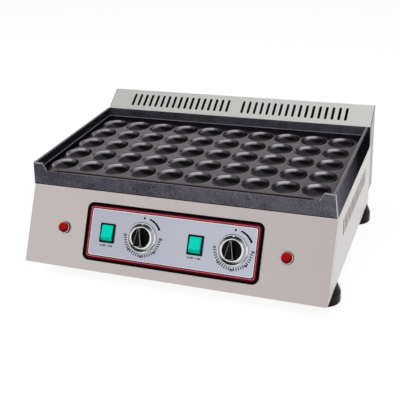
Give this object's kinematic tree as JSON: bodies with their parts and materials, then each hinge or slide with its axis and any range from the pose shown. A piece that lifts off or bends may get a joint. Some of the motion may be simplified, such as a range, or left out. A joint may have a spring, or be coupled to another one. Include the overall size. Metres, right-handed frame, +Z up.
{
  "type": "mini pancake griddle",
  "caption": "Electric countertop griddle with rows of round cups in a cast plate, a leaning control panel with knobs, rocker switches and lamps, and a vented rear hood.",
  "frame": {"origin": "on the floor, under the middle of the machine's box", "axes": "+X to the machine's right seen from its front, -Y to the front, +Z up"},
  "size_m": [0.614, 0.46, 0.2448],
  "materials": {
    "body_sheet": "satin stainless sheet",
    "coated_plate": "cast, black non-stick coating",
    "element_sheath": "dull heating element sheath",
    "zinc_steel": "zinc plated",
    "fascia_print": "printed satin sheet",
    "black_plastic": "black, slightly textured",
    "copper_tube": "drawn copper",
    "knob_black": "black, glossy",
    "knob_chrome": "bright plated trim",
    "rocker_green": "translucent green",
    "lamp_chrome": "bright plated trim",
    "lens_red": "translucent red",
    "foot_rubber": "black, matte",
    "block_ivory": "ivory",
    "earth_brass": "turned brass",
    "wire_cover": "heat resistant insulation"
  },
  "bodies": {
    "machine": {"base_pan": "body_sheet", "front_panel": "body_sheet", "left_side_panel": "body_sheet", "right_side_panel": "body_sheet", "rear_panel": "body_sheet", "hood_shell": "body_sheet", "left_hood_end": "body_sheet", "right_hood_end": "body_sheet", "griddle_plate": "coated_plate", "left_element": "element_sheath", "right_element": "element_sheath", "element_clamps": "zinc_steel", "clamp_studs": "zinc_steel", "clamp_nuts": "zinc_steel", "heat_shield": "zinc_steel", "control_fascia": "fascia_print", "left_thermostat": "black_plastic", "right_thermostat": "black_plastic", "bush_nuts": "zinc_steel", "left_sensor": "copper_tube", "right_sensor": "copper_tube", "left_switch": "black_plastic", "right_switch": "black_plastic", "left_lamp_base": "black_plastic", "right_lamp_base": "black_plastic", "left_lamp_bezel": "lamp_chrome", "right_lamp_bezel": "lamp_chrome", "left_lamp_lens": "lens_red", "right_lamp_lens": "lens_red", "lamp_nuts": "zinc_steel", "front_left_foot": "foot_rubber", "front_right_foot": "foot_rubber", "rear_left_foot": "foot_rubber", "rear_right_foot": "foot_rubber", "foot_bolts": "zinc_steel", "foot_nuts": "zinc_steel", "base_screws": "zinc_steel", "cable_gland": "black_plastic", "gland_cap": "black_plastic", "gland_nut": "black_plastic", "terminal_block": "block_ivory", "earth_stud": "earth_brass", "left_wires": "wire_cover", "right_wires": "wire_cover"},
    "left_knob": {"left_knob": "knob_black", "left_knob_rings": "knob_chrome", "left_spindle": "zinc_steel"},
    "right_knob": {"right_knob": "knob_black", "right_knob_rings": "knob_chrome", "right_spindle": "zinc_steel"},
    "left_rocker": {"left_rocker": "rocker_green"},
    "right_rocker": {"right_rocker": "rocker_green"}
  },
  "joints": [
    {"name": "left_knob_turn", "type": "hinge", "parent": "machine", "child": "left_knob", "pos_m": [-0.0565, -0.19327, 0.10596], "axis": [0, 0.8737, -0.4865], "range_deg": [0, 300]},
    {"name": "right_knob_turn", "type": "hinge", "parent": "machine", "child": "right_knob", "pos_m": [0.1215, -0.19327, 0.10596], "axis": [0, 0.8737, -0.4865], "range_deg": [0, 300]},
    {"name": "left_rocker_tilt", "type": "hinge", "parent": "machine", "child": "left_rocker", "pos_m": [-0.128, -0.19196, 0.10523], "axis": [1, 0, 0], "range_deg": [0, 16]},
    {"name": "right_rocker_tilt", "type": "hinge", "parent": "machine", "child": "right_rocker", "pos_m": [0.05, -0.19196, 0.10523], "axis": [1, 0, 0], "range_deg": [0, 16]}
  ]
}
